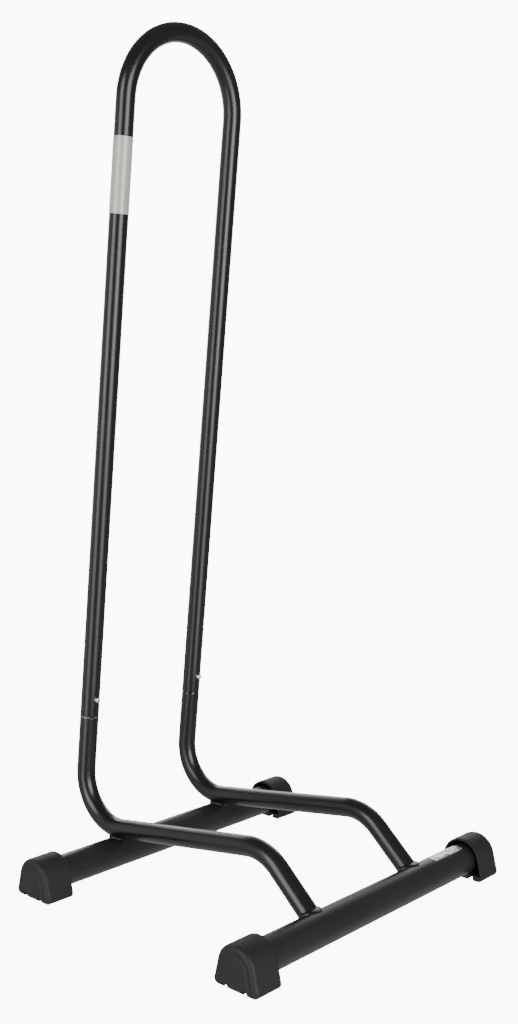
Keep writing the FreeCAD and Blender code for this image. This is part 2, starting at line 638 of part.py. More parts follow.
# ---------------------------------------------------------------------------------------------
# The assembly
# ---------------------------------------------------------------------------------------------
parts = [make_hoop()]
for side_name, side_x in (("left", f"-{LEG_X}"), ("right", LEG_X)):
    parts.append(make_lower_frame("lower_frame_" + side_name, side_x))
    parts.append(make_button("snap_button_" + side_name, side_x))
    parts.append(make_spring("button_spring_" + side_name, side_x))
    parts.append(make_rear_weld("rear_weld_" + side_name, side_x))
    parts.append(make_front_weld("front_weld_" + side_name, side_x))
for end_name, end_y in (("rear", REAR_Y), ("front", FRONT_Y)):
    parts.append(make_base_tube("base_tube_" + end_name, end_y))
    parts.append(make_foot(f"foot_{end_name}_left", -1, end_y))
    parts.append(make_foot(f"foot_{end_name}_right", 1, end_y))
parts.append(make_leg_label())
parts.append(make_base_label())

doc.recompute()
for thing in doc.Objects:
    if "Invalid" in thing.State or "Error" in thing.State:
        raise RuntimeError(f"{thing.Name} failed: {thing.State}")
for part in parts:
    if part.Shape.isNull() or not part.Shape.isValid() or not part.Shape.Solids:
        raise RuntimeError(f"{part.Label} has no valid solid")

os.makedirs("parts", exist_ok=True)
for part in parts:
    part.Shape.exportStep(f"parts/{part.Label}.step")
    box = part.Shape.BoundBox
    print(f"{part.Label:22s} solids {len(part.Shape.Solids)} volume {part.Shape.Volume:10.1f}  "
          f"x {box.XMin:8.2f} {box.XMax:8.2f}  y {box.YMin:8.2f} {box.YMax:8.2f}  "
          f"z {box.ZMin:8.2f} {box.ZMax:8.2f}")
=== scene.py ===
from math import cos, degrees, pi, radians, sin, sqrt, tan

import bpy
import numpy as np
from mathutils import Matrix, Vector


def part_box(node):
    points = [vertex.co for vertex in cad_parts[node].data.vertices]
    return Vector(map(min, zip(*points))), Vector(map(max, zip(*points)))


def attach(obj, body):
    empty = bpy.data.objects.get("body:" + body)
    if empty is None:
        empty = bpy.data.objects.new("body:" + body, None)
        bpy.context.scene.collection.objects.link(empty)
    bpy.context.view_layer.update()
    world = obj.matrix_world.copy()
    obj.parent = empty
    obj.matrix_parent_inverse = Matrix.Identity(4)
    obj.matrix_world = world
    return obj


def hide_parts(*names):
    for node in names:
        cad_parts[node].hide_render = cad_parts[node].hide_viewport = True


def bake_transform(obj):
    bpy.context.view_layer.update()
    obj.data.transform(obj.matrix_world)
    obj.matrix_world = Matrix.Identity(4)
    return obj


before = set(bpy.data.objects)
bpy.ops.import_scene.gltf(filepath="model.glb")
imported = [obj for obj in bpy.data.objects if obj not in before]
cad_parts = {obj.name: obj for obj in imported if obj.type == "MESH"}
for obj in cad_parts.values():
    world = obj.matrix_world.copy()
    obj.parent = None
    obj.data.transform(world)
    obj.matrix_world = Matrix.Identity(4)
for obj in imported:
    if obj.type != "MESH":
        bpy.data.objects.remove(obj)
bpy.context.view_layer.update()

# ------------------------------------------------------------------ camera
# Stands in front and to the left at half the rack's height, and looks slightly down. It was solved
# from the outlines of the tubes.
eye = Vector((-0.90569, -0.85531, 0.50657))
yaw, pitch = radians(47.07), radians(5.451)
gaze = Vector((sin(yaw) * cos(pitch), cos(yaw) * cos(pitch), -sin(pitch)))
lens = bpy.data.cameras.new("studio_camera")
lens.sensor_fit = "AUTO"
lens.sensor_width = 36.0
lens.lens = 43.117
lens.clip_start = 0.02
camera = bpy.data.objects.new("studio_camera", lens)
camera.location = eye
camera.rotation_mode = "QUATERNION"
camera.rotation_quaternion = gaze.to_track_quat("-Z", "Y")
bpy.context.scene.collection.objects.link(camera)
bpy.context.scene.camera = camera

# ------------------------------------------------------------------ hoop
# One 20 mm steel tube bent to an upside-down U and powder-coated gloss black. Its legs are cut
# square at the bottom, where they slip over the spigots, and each has a hole for its snap button.
mm = 0.001
lean = radians(6.2)
tube_radius = 10.0 * mm
bore_radius = 8.8 * mm
leg_reach = 76.0 * mm
leg_length = 645.0 * mm
stub_length = 60.0 * mm
rear_bend = 50.0 * mm
front_axis_y, rear_axis_y = -158.5 * mm, 124.5 * mm
base_axis_z = 19.5 * mm
base_radius = 16.0 * mm
weld_gap = 0.3 * mm
bend_centre_z = base_axis_z + base_radius + weld_gap + tube_radius + rear_bend
button_height = 20.0 * mm
hole_radius, hole_lip = 3.15 * mm, 0.25 * mm
window_half = 4.6 * mm
across = np.array([1.0, 0.0, 0.0])
up_leg = np.array([0.0, -sin(lean), cos(lean)])
to_front = np.array([0.0, -cos(lean), -sin(lean)])
bend_centre = np.array([0.0, rear_axis_y, bend_centre_z])
seam = bend_centre - rear_bend * to_front + stub_length * up_leg


def bent_line(start, heading, stretches):
    """The centre line of a bent tube in its own plane, as a function of the length along it.

    Each stretch has a length and a turn, and its heading changes evenly. A point at a distance d
    into a stretch lies d * sinc(half the turn so far) away, in the heading halfway to it.
    """
    lengths, turns = np.array(stretches, float).T
    marks = np.concatenate([[0.0], np.cumsum(lengths)])
    headings = heading + np.concatenate([[0.0], np.cumsum(turns)])
    rates = turns / lengths

    def step(distance, begin, rate):
        half = rate * distance / 2
        chord = distance * np.sinc(half / pi)
        return np.stack([chord * np.cos(begin + half), chord * np.sin(begin + half)], axis=-1)

    jumps = step(lengths, headings[:-1], rates)
    corners = np.array(start) + np.concatenate([[[0.0, 0.0]], np.cumsum(jumps, axis=0)])

    def at(length):
        stretch = np.clip(np.searchsorted(marks, length, side="right") - 1, 0, len(lengths) - 1)
        distance = length - marks[stretch]
        centre = corners[stretch] + step(distance, headings[stretch], rates[stretch])
        return centre, headings[stretch] + rates[stretch] * distance

    return at, marks


def round_tube(line, origin, axes, length, radius, angle):
    """Points of a round tube: the centre at that length, then the radius away from it, at the angle
    that turns from the outside of the line's plane towards the plane's own normal."""
    centre, heading = line(length)
    sideways = radius * np.cos(angle)
    u = centre[..., 0] - sideways * np.sin(heading)
    v = centre[..., 1] + sideways * np.cos(heading)
    w = radius * np.sin(angle)
    return origin + u[..., None] * axes[0] + v[..., None] * axes[1] + w[..., None] * axes[2]


def net(index, wrap_rows=False, wrap_columns=False):
    """Quads between neighbouring entries of a table of vertex numbers."""
    if wrap_rows:
        index = np.concatenate([index, index[:1]])
    if wrap_columns:
        index = np.concatenate([index, index[:, :1]], axis=1)
    corners = [index[:-1, :-1], index[:-1, 1:], index[1:, 1:], index[1:, :-1]]
    return np.stack(corners, axis=-1)


def window(rows, columns):
    """The vertex places round a rectangle of a grid, in order."""
    top = [(rows[0], column) for column in columns[:-1]]
    right = [(row, columns[-1]) for row in rows[:-1]]
    bottom = [(rows[-1], column) for column in columns[:0:-1]]
    left = [(row, columns[0]) for row in rows[:0:-1]]
    return np.array(top + right + bottom + left)


def drilled(points, faces, outer_ring, inner_ring, centre, out, depths, radius, lip):
    """Joins a window in an outer skin to one in an inner skin by a round hole with a softened rim.

    Rings pass from the outer window to the circle of the hole, down its wall, and out again to the
    inner window. Each ring point keeps its window point's direction from the hole's axis, and its
    depth is that of the skin it lies on.
    """
    def flat(ring):
        offset = points[ring] - centre
        return np.stack([offset @ across, offset @ np.cross(out, across)], axis=-1)

    outer, inner = flat(outer_ring), flat(inner_ring)
    turn = np.arctan2(outer[:, 1], outer[:, 0])
    circle = np.stack([np.cos(turn), np.sin(turn)], axis=-1)
    rings = []
    for share in (0.66, 0.33, 0.0):
        spot = share * outer + (1 - share) * (radius + lip) * circle
        rings.append((spot, depths[0](spot[:, 0])))
    for roll in np.radians([30, 60, 90]):
        spot = (radius + lip * (1 - sin(roll))) * circle
        rings.append((spot, depths[0](spot[:, 0]) - lip * (1 - cos(roll))))
    for share in (0.0, 0.5):
        spot = share * inner + (1 - share) * radius * circle
        rings.append((spot, depths[1](spot[:, 0])))
    up = np.cross(out, across)
    new = [centre + spot[:, :1] * across + spot[:, 1:] * up + depth[:, None] * out
           for spot, depth in rings]
    start = len(points) + np.arange(len(new))[:, None] * len(outer_ring)
    index = np.concatenate([[outer_ring], start + np.arange(len(outer_ring)), [inner_ring]])
    wall = net(index, wrap_columns=True).reshape(-1, 4)
    points = np.concatenate([points, *new])
    face = points[wall[0]]
    if np.cross(face[1] - face[0], face[2] - face[1]) @ out < 0:
        wall = wall[:, ::-1]
    return points, np.concatenate([faces, wall])


def finished_piece(name, points, faces, material, body, nodes, crease=40.0):
    """Makes the mesh inside the box of the first node that it stands for, turns its faces outwards
    by the sign of its volume, and hands it to its body."""
    if not isinstance(faces, list):
        faces = faces.tolist()
    points = np.clip(np.asarray(points).reshape(-1, 3), *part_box(nodes[0]))
    mesh = bpy.data.meshes.new(name)
    mesh.from_pydata(points.tolist(), [], faces)
    mesh.update()
    mesh.calc_loop_triangles()
    corners = np.zeros(len(mesh.loop_triangles) * 3, int)
    mesh.loop_triangles.foreach_get("vertices", corners)
    a, b, c = points[corners.reshape(-1, 3)].transpose(1, 0, 2)
    if np.einsum("ij,ij->", a, np.cross(b, c)) < 0:
        mesh.flip_normals()
    mesh.polygons.foreach_set("use_smooth", np.ones(len(mesh.polygons), bool))
    mesh.set_sharp_from_angle(angle=radians(crease))
    mesh.materials.append(material)
    made = bpy.data.objects.new(name, mesh)
    bpy.context.scene.collection.objects.link(made)
    if body:
        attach(made, body)
    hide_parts(*nodes)
    return made


def rolled_edge(start, corner_radius, edge_radius):
    """The rounded rim of a tube end, from its skin to its end face: lengths and radii of rows."""
    roll = np.linspace(0, pi / 2, 4)
    length = start + edge_radius * (1 - np.sin(roll))
    radius = corner_radius - edge_radius * (1 - np.cos(roll))
    return np.stack([length, radius], axis=-1)


def skin(lengths, radius):
    """Rows of a tube's skin: each length with the one radius."""
    return np.stack([lengths, np.full(len(lengths), radius)], axis=-1)


def closed_net(points):
    """The faces of a grid of points that closes on itself both ways, like a tube with a bore."""
    index = np.arange(points.shape[0] * points.shape[1]).reshape(points.shape[:2])
    return net(index, wrap_rows=True, wrap_columns=True).reshape(-1, 4)


class Field:
    """A socket that varies over a surface. Arithmetic on it adds Math nodes."""

    def __init__(self, nodes, socket):
        self.nodes = nodes
        self.socket = socket

    def made(self, operation, first, second):
        return self.nodes.node("ShaderNodeMath", {"operation": operation}, {0: first, 1: second})

    def __add__(self, other):
        return self.made("ADD", self, other)

    def __radd__(self, other):
        return self.made("ADD", other, self)

    def __sub__(self, other):
        return self.made("SUBTRACT", self, other)

    def __mul__(self, other):
        return self.made("MULTIPLY", self, other)

    def __rmul__(self, other):
        return self.made("MULTIPLY", other, self)


class Nodes:
    """A tree of nodes. node() adds any of them."""

    def __init__(self, owner):
        owner.use_nodes = True
        self.tree = owner.node_tree
        self.tree.nodes.clear()

    def feed(self, socket, value):
        if isinstance(value, Field):
            self.tree.links.new(value.socket, socket)
        else:
            socket.default_value = value

    def node(self, kind, settings=None, inputs=None, output=0):
        """Adds a node: its settings first, then its inputs, each a constant or a Field."""
        made = self.tree.nodes.new(kind)
        for name, value in (settings or {}).items():
            setattr(made, name, value)
        for name, value in (inputs or {}).items():
            self.feed(made.inputs[name], value)
        return Field(self, made.outputs[output]) if made.outputs else made


class Finish(Nodes):
    """One material with a Principled shader. Its methods name the patterns the finishes use."""

    def __init__(self, name, **constants):
        self.material = bpy.data.materials.new(name)
        super().__init__(self.material)
        self.shader = self.node("ShaderNodeBsdfPrincipled").socket.node
        surface = Field(self, self.shader.outputs[0])
        self.node("ShaderNodeOutputMaterial", None, {"Surface": surface})
        self.wear(**constants)
        self.place = self.node("ShaderNodeTexCoord", output="Object")

    def wear(self, **values):
        """Sets sockets of the shader, with underscores for the spaces in their names."""
        for name, value in values.items():
            self.feed(self.shader.inputs[name.replace("_", " ")], value)

    def noise(self, scale, detail=2.0, roughness=0.5, at=None):
        inputs = {"Vector": at or self.place, "Scale": scale, "Detail": detail,
                  "Roughness": roughness}
        return self.node("ShaderNodeTexNoise", None, inputs)

    def cells(self, scale):
        """The distance to the nearest of many scattered spots."""
        inputs = {"Vector": self.place, "Scale": scale}
        return self.node("ShaderNodeTexVoronoi", {"feature": "F1"}, inputs, "Distance")

    def stretched(self, x, y, z):
        """The place on the piece, with each direction stretched by its own share."""
        return self.node("ShaderNodeMapping", None, {"Vector": self.place, "Scale": (x, y, z)})

    def between(self, field, low, high, to_low=0.0, to_high=1.0):
        """Eases from one value to another while a field goes from low to high."""
        inputs = {"Value": field, "From Min": low, "From Max": high,
                  "To Min": to_low, "To Max": to_high}
        return self.node("ShaderNodeMapRange", {"interpolation_type": "SMOOTHSTEP"}, inputs)

    def height(self):
        """How high a point lies above the floor."""
        return self.node("ShaderNodeSeparateXYZ", None, {0: self.place}, "Z")

    def along(self, way):
        """How far a point lies along a direction."""
        inputs = {0: self.place, 1: tuple(way)}
        return self.node("ShaderNodeVectorMath", {"operation": "DOT_PRODUCT"}, inputs, "Value")

    def facing_up(self):
        """1 where the surface faces the ceiling, 0 on its sides and below."""
        normal = self.node("ShaderNodeNewGeometry", output="Normal")
        return self.node("ShaderNodeSeparateXYZ", None, {0: normal}, "Z")

    def blend(self, share, first, second):
        """One colour passing into another by a share from 0 to 1."""
        factor, color_a, color_b, mixed = 0, 6, 7, 2
        inputs = {factor: share, color_a: first, color_b: second}
        return self.node("ShaderNodeMix", {"data_type": "RGBA"}, inputs, mixed)

    def bumps(self, *layers):
        """Stacks relief on the surface: each layer is a height field and its depth in metres."""
        normal = None
        for field, depth in layers:
            inputs = {"Height": field, "Distance": depth, "Strength": 1.0}
            if normal is not None:
                inputs["Normal"] = normal
            normal = self.node("ShaderNodeBump", None, inputs)
        self.wear(Normal=normal)


def powder_coat(name, black, gloss, peel, shine=0.5):
    """Baked black powder on steel: an orange-peel skin over a deep colour, with a little dust.
    Where the hoop is pulled off and pushed on, its rim and the ledge under it are rubbed bare."""
    dust_grey, bare_steel = (0.10, 0.10, 0.10, 1.0), (0.55, 0.55, 0.56, 1.0)
    rub_edge, rub_core = 0.8 * mm, 0.4 * mm
    finish = Finish(name, Specular_IOR_Level=shine, IOR=1.5)
    orange_peel = finish.noise(620.0, 2.0)
    pits = finish.noise(2600.0, 1.0)
    drift = finish.noise(9.0, 3.0)
    specks = finish.between(finish.cells(420.0), 0.10, 0.03)
    dust = specks * finish.between(finish.noise(60.0), 0.5, 0.72)
    dust = dust * finish.between(finish.facing_up(), 0.1, 0.9)
    darker, paler = ([share * part for part in black] + [1.0] for share in (0.8, 1.2))
    dusty = finish.blend(dust * 0.5, finish.blend(drift, darker, paler), dust_grey)
    past_seam = finish.along(up_leg) - float(seam @ up_leg)
    rubbed = finish.between(past_seam * past_seam, rub_edge ** 2, rub_core ** 2)
    rubbed = rubbed * finish.between(finish.noise(190.0, 2.0), 0.54, 0.60)
    finish.wear(Base_Color=finish.blend(rubbed, dusty, bare_steel), Metallic=rubbed)
    finish.wear(Roughness=gloss + 0.10 * (drift - 0.5) + 0.05 * (pits - 0.5) + 0.25 * dust)
    finish.bumps((orange_peel, peel), (pits, 0.15 * peel))
    return finish.material


gloss_black = powder_coat("gloss_black_powder", (0.0042, 0.0042, 0.0046), 0.27, 0.012 * mm)

tube_sides = 80
angles = np.arange(tube_sides) * 2 * pi / tube_sides
hole_rows = button_height + np.linspace(-window_half, window_half, 11)
arch_length = pi * leg_reach
hoop_total = 2 * leg_length + arch_length
hoop_line, _ = bent_line((-leg_reach, 0.0), pi / 2,
                         [(leg_length, 0.0), (arch_length, -pi), (leg_length, 0.0)])

leg_rows = np.concatenate([
    np.array([1.5, 5, 10]) * mm, hole_rows, np.linspace(32 * mm, leg_length, 40)])
arch_rows = leg_length + np.linspace(0, arch_length, 73)[1:-1]
skin_rows = np.concatenate([leg_rows, arch_rows, hoop_total - leg_rows[::-1]])
rim = rolled_edge(0.0, tube_radius, 0.6 * mm)
rows = np.concatenate([
    rim[::-1],
    skin(skin_rows, tube_radius),
    np.stack([hoop_total - rim[:, 0], rim[:, 1]], axis=-1),
    [[hoop_total, bore_radius]],
    skin(skin_rows[::-1], bore_radius),
    [[0.0, bore_radius]],
])
hoop_axes = (across, up_leg, to_front)
points = round_tube(hoop_line, seam, hoop_axes, rows[:, :1], rows[:, 1:], angles)
index = np.arange(points.shape[0] * tube_sides).reshape(-1, tube_sides)
kept = np.ones(index.shape, bool)
slack = 0.1 * mm
window_columns = np.arange(-6, 7)
hole_columns = tube_sides // 4 + window_columns
holes = []
for leg_x, along in ((-leg_reach, button_height), (leg_reach, hoop_total - button_height)):
    near = np.abs(rows[:, 0] - along) < window_half + slack
    outside = np.flatnonzero(near & (rows[:, 1] > tube_radius - slack))
    inside = np.flatnonzero(near & (rows[:, 1] < bore_radius + slack))[::-1]
    for found in (outside, np.sort(inside)):
        kept[np.ix_(found[:-1], hole_columns[:-1])] = False
    holes.append((leg_x, outside, inside))
faces = net(index, wrap_rows=True, wrap_columns=True)[kept]
points = points.reshape(-1, 3)
skin_depths = [lambda b, r=r: np.sqrt(r ** 2 - b ** 2) for r in (tube_radius, bore_radius)]
for leg_x, outside, inside in holes:
    rings = [index[tuple(window(found, hole_columns).T)] for found in (outside, inside)]
    centre = seam + leg_x * across + button_height * up_leg
    points, faces = drilled(points, faces, *rings, centre, to_front, skin_depths,
                            hole_radius, hole_lip)
finished_piece("bent_hoop", points, faces, gloss_black, "frame", ["hoop"])

# ------------------------------------------------------------------ lower frame tubes
# Two 20 mm steel tubes, each bent twice. The top is drawn down to a spigot that goes up inside the
# hoop's leg, and the front end is coped round the front base tube. Each one is welded to both base
# tubes.
front_bend = 50.0 * mm
rise, drop = radians(8.8), radians(41.4)
spigot_length = 55.0 * mm
spigot_radius, spigot_bore = 8.7 * mm, 7.5 * mm
spigot_lip = 0.2 * mm
swage_length, swage_step = 3.0 * mm, 1.2 * mm
rear_turn = pi / 2 + lean + rise
run_start = rear_bend * np.array([-sin(rise), -cos(rise)])
drop_end = np.array([front_axis_y - rear_axis_y, base_axis_z - bend_centre_z])
ahead = np.array([-cos(rise), sin(rise)])
down = np.array([-cos(drop), -sin(drop)])
run_reach, drop_reach = np.linalg.solve(np.stack([ahead, down], axis=-1), drop_end - run_start)
setback = front_bend * tan((rise + drop) / 2)
run_length, drop_length = run_reach - setback, drop_reach - setback
spigot_top = (seam - bend_centre)[1:] + spigot_length * up_leg[1:]
frame_stretches = [
    (spigot_length + stub_length, 0.0),
    (rear_bend * rear_turn, -rear_turn),
    (run_length, 0.0),
    (front_bend * (rise + drop), rise + drop),
    (drop_length, 0.0),
]
frame_line, frame_marks = bent_line(spigot_top, lean - pi / 2, frame_stretches)
frame_axes = (np.array([0.0, 1.0, 0.0]), np.array([0.0, 0.0, 1.0]), across)

shoulder = spigot_length
button_mark = spigot_length - button_height
spigot_hole_rows = button_mark + (hole_rows - button_height)
spigot_rows = np.concatenate([
    np.array([3, 14, 25]) * mm, spigot_hole_rows, np.array([45, 50]) * mm])
tube_rows = np.concatenate([
    shoulder + np.array([1.5, 5, 12, 24, 42]) * mm,
    np.linspace(frame_marks[1], frame_marks[2], 40),
    np.linspace(frame_marks[2], frame_marks[3], 14)[1:-1],
    np.linspace(frame_marks[3], frame_marks[4], 24),
    np.linspace(frame_marks[4], frame_marks[5], 9)[1:],
])
tip = rolled_edge(0.0, spigot_radius, 0.5 * mm)
ledge = rolled_edge(shoulder, tube_radius, 1.2 * mm)
rows = np.concatenate([
    tip[::-1],
    skin(spigot_rows, spigot_radius),
    [[shoulder, spigot_radius]],
    ledge[::-1],
    skin(tube_rows, tube_radius),
    skin(tube_rows[::-1], bore_radius),
    [[shoulder + swage_length, bore_radius], [shoulder + swage_length - swage_step, spigot_bore]],
    skin(spigot_rows[::-1], spigot_bore),
    [[0.0, spigot_bore]],
])
# The coped end follows the base tube: each side of the tube stops where it meets that surface.
cope_radius = base_radius + weld_gap
cope_stop = frame_marks[5] - np.sqrt(cope_radius ** 2 - (rows[:, 1:] * np.cos(angles)) ** 2)
last = np.clip((rows[:, :1] - frame_marks[4]) / drop_length, 0, 1)
lengths = rows[:, :1] + last * (cope_stop - frame_marks[5])
hole_columns = tube_sides // 2 + window_columns
index = np.arange(rows.shape[0] * tube_sides).reshape(-1, tube_sides)
kept = np.ones(index.shape, bool)
near = np.abs(rows[:, 0] - button_mark) < window_half + slack
outside = np.flatnonzero(near & (rows[:, 1] > spigot_radius - slack))
inside = np.flatnonzero(near & (rows[:, 1] < spigot_bore + slack))[::-1]
for found in (outside, np.sort(inside)):
    kept[np.ix_(found[:-1], hole_columns[:-1])] = False
rings = [index[tuple(window(found, hole_columns).T)] for found in (outside, inside)]
spigot_depths = [lambda b, r=r: np.sqrt(r ** 2 - b ** 2) for r in (spigot_radius, spigot_bore)]
for side, leg_x in (("left", -leg_reach), ("right", leg_reach)):
    origin = bend_centre + leg_x * across
    points = round_tube(frame_line, origin, frame_axes, lengths, rows[:, 1:], angles)
    faces = net(index, wrap_rows=True, wrap_columns=True)[kept]
    centre = seam + leg_x * across + button_height * up_leg
    points, faces = drilled(points.reshape(-1, 3), faces, *rings, centre, to_front,
                            spigot_depths, hole_radius, spigot_lip)
    finished_piece(f"lower_tube_{side}", points, faces, gloss_black, "frame",
                   [f"lower_frame_{side}"])

# ------------------------------------------------------------------ base tubes
# Two straight 32 mm steel tubes, cut square and closed by the feet. Their powder coat is a little
# duller than that of the thin tubes.
satin_black = powder_coat("satin_black_powder", (0.0120, 0.0120, 0.0134), 0.38, 0.028 * mm, 0.4)
base_half = 186.0 * mm
base_bore = 14.5 * mm
base_sides = 96
turns = np.arange(base_sides) * 2 * pi / base_sides
past_rim = 0.5 * mm
stations = np.linspace(-base_half + past_rim, base_half - past_rim, 40)
rim = rolled_edge(-base_half, base_radius, 0.4 * mm)
rows = np.concatenate([
    rim[::-1],
    skin(stations, base_radius),
    np.stack([-rim[:, 0], rim[:, 1]], axis=-1),
    [[base_half, base_bore]],
    skin(stations[::-1], base_bore),
    [[-base_half, base_bore]],
])
for end, axis_y in (("front", front_axis_y), ("rear", rear_axis_y)):
    x = np.broadcast_to(rows[:, :1], (len(rows), base_sides))
    y = axis_y + rows[:, 1:] * np.cos(turns)
    z = base_axis_z + rows[:, 1:] * np.sin(turns)
    points = np.stack([x, y, z], axis=-1)
    finished_piece(f"cross_tube_{end}", points, closed_net(points), satin_black, "frame",
                   [f"base_tube_{end}"])

# ------------------------------------------------------------------ weld beads
# Hand-laid beads under the powder coat. The front one runs round the coped tube, the rear one round
# the oval where the bend rests on the base tube. Each pass of the torch leaves a small crescent.
weld_black = powder_coat("welded_black_powder", (0.0052, 0.0052, 0.0058), 0.24, 0.03 * mm)
weld_width = 2.9 * mm
bulge_rise, crescent_rise = 0.62 * mm, 0.24 * mm
rear_crescents, front_crescents = 26, 32
toe_sink = 0.04 * mm
bead_steps = np.linspace(0, 1, 9)


def bead(upper, lower, root, count, turn, seed):
    """A closed band along a joint: from the upper toe over a bulge to the lower toe, and back by
    the root. The bulge is a half sine, and the crescents are the fold of a sine that lags off the
    middle."""
    outward = (upper + lower) / 2 - root
    outward = outward / np.linalg.norm(outward, axis=-1, keepdims=True)
    lag = 1.1 * (2 * bead_steps[:, None] - 1) ** 2
    crescents = np.abs(np.sin(count * turn / 2 + lag + 0.5 * np.sin(3 * turn + seed)))
    swell = 1 + 0.12 * np.sin(5 * turn + seed) + 0.08 * np.sin(9 * turn + 2 * seed)
    bulge = np.sin(pi * bead_steps[:, None]) * (bulge_rise * swell + crescent_rise * crescents)
    top = upper + bead_steps[:, None, None] * (lower - upper) + bulge[..., None] * outward
    return np.concatenate([top, root[None]])


def toe_distance(way, miss):
    """How far along each direction the miss distance reaches the bead's width, by halving."""
    near, far = np.zeros(len(way)), np.full(len(way), tube_radius * 0.98)
    for _ in range(40):
        middle = (near + far) / 2
        short = miss(middle * np.cos(way), middle * np.sin(way)) < weld_width
        near, far = np.where(short, middle, near), np.where(short, far, middle)
    return near


bead_sides = 256
turn = np.arange(bead_sides) * 2 * pi / bead_sides


def base_surface(y):
    return base_axis_z + np.sqrt(base_radius ** 2 - y ** 2)


def bend_surface(x, y):
    ring = rear_bend + np.sqrt(tube_radius ** 2 - x ** 2)
    return bend_centre_z - np.sqrt(ring ** 2 - y ** 2)


def miss_bend(x, y):
    """Distance from a point on the base tube to the bend above it."""
    ring = np.hypot(y, base_surface(y) - bend_centre_z) - rear_bend
    return np.hypot(x, ring) - tube_radius


def miss_base(x, y):
    """Distance from a point on the bend to the base tube below it."""
    return np.hypot(y, bend_surface(x, y) - base_axis_z) - base_radius


low_reach = toe_distance(turn, miss_bend)
high_reach = toe_distance(turn, miss_base)
x, y = low_reach * np.cos(turn), low_reach * np.sin(turn)
low_toe = np.stack([x, y, base_surface(y) - toe_sink], axis=-1)
x, y = high_reach * np.cos(turn), high_reach * np.sin(turn)
high_toe = np.stack([x, y, bend_surface(x, y) + toe_sink], axis=-1)
inwards, off_base = 0.62, 0.15 * mm
root = (low_toe + high_toe) / 2
root[:, :2] *= inwards
root[:, 2] = base_surface(root[:, 1]) + off_base
for side, leg_x, seed in (("left", -leg_reach, 0.4), ("right", leg_reach, 2.1)):
    points = bead(high_toe, low_toe, root, rear_crescents, turn, seed) + [leg_x, rear_axis_y, 0.0]
    finished_piece(f"rear_bead_{side}", points, closed_net(points), weld_black, "frame",
                   [f"rear_weld_{side}"], crease=70.0)


def drop_point(radius, back_off):
    """A point at a radius from the sloping tube's axis, on the base tube or short of it."""
    along = frame_marks[5] - np.sqrt(base_radius ** 2 - (radius * np.cos(turn)) ** 2) - back_off
    return round_tube(frame_line, bend_centre, frame_axes, along, radius, turn)


ripple = weld_width * (1 + 0.05 * np.sin(4 * turn + 1) + 0.04 * np.sin(7 * turn))
high_toe = drop_point(tube_radius - toe_sink, ripple)
low_toe = drop_point(tube_radius + ripple, -toe_sink)
root_sink, root_gap = 0.3 * mm, 0.1 * mm
root = drop_point(tube_radius - root_sink, root_gap)
for side, leg_x, seed in (("left", -leg_reach, 1.3), ("right", leg_reach, 3.7)):
    points = bead(high_toe, low_toe, root, front_crescents, turn, seed) + leg_x * across
    finished_piece(f"front_bead_{side}", points, closed_net(points), weld_black, "frame",
                   [f"front_weld_{side}"], crease=70.0)

# ------------------------------------------------------------------ feet
# Moulded dark grey plastic caps, pushed over the ends of the base tubes. Each has an arch over the
# tube, flared sides, a raised panel on its end and two grooves along its sole.
foot = Finish("moulded_plastic", Specular_IOR_Level=0.3, IOR=1.48)
grain = foot.noise(1500.0, 3.0, 0.6)
mottle = foot.noise(38.0, 3.0)
near_floor = foot.between(foot.height(), 5 * mm, 0.5 * mm)
scuffs = near_floor * foot.between(foot.noise(240.0, 4.0, 0.7), 0.45, 0.7)
plastic = foot.blend(mottle, (0.0105, 0.0105, 0.0112, 1.0), (0.0140, 0.0140, 0.0148, 1.0))
foot.wear(Base_Color=foot.blend(scuffs * 0.6, plastic, (0.10, 0.10, 0.10, 1.0)))
foot.wear(Roughness=0.56 + 0.16 * (grain - 0.5) + 0.12 * (mottle - 0.5) + 0.1 * scuffs)
foot.bumps((grain, 0.05 * mm), (foot.noise(300.0, 2.0), 0.02 * mm))
foot_plastic = foot.material

arch_radius = 22.0 * mm
flare = radians(13.8)
corner_radius = 5.2 * mm
sole_z = -19.5 * mm
corner_z = sole_z + corner_radius
corner_y = (arch_radius - corner_radius - corner_z * sin(flare)) / cos(flare)
shell_wall, cavity_floor = 2.2 * mm, -13.5 * mm
mouth_x, end_x = -30.0 * mm, 3.0 * mm
socket_radius = 16.1 * mm
recess_depth = 8.0 * mm
middle_z = -1.5 * mm
# Half of the sole, from its middle outwards: how far out, and how high the groove lifts it.
half_sole = np.array([
    [0, 0], [2, 0], [4, 0], [6, 0], [8.1, 0], [8.5, 0.4], [8.5, 4.5], [11.5, 4.5], [14.5, 4.5],
    [14.5, 0.4], [14.9, 0], [17.8, 0]]) * mm
sole_y = np.concatenate([-half_sole[:0:-1, 0], half_sole[:, 0]])
sole_lift = np.concatenate([half_sole[:0:-1, 1], half_sole[:, 1]])


def arc(centre_y, centre_z, radius, start, stop, count):
    swept = np.radians(np.linspace(start, stop, count))
    return np.stack([centre_y + radius * np.cos(swept), centre_z + radius * np.sin(swept)], axis=-1)


def foot_outline(inset, grooved=True):
    """The D outline in Y and Z, set in by a distance: arch, flared side, corner, sole and back
    up. Between the arch and a corner the side is a straight line. The grooves lift their part of
    the sole."""
    tilt = degrees(flare)
    left_corner = arc(-corner_y, corner_z, corner_radius - inset, 180 - tilt, 270, 11)
    right_corner = arc(corner_y, corner_z, corner_radius - inset, -90, tilt, 11)
    arch = arc(0.0, 0.0, arch_radius - inset, tilt, 180 - tilt, 61)
    share = np.linspace(0, 1, 8)[1:-1, None]
    left_side = arch[-1] + share * (left_corner[0] - arch[-1])
    right_side = right_corner[-1] + share * (arch[0] - right_corner[-1])
    height = sole_z + np.maximum(inset, sole_lift if grooved else 0.0)
    height = np.broadcast_to(height, sole_y.shape)
    sole = np.stack([sole_y, height], axis=-1)
    return np.concatenate([arch, left_side, left_corner, sole, right_corner, right_side])


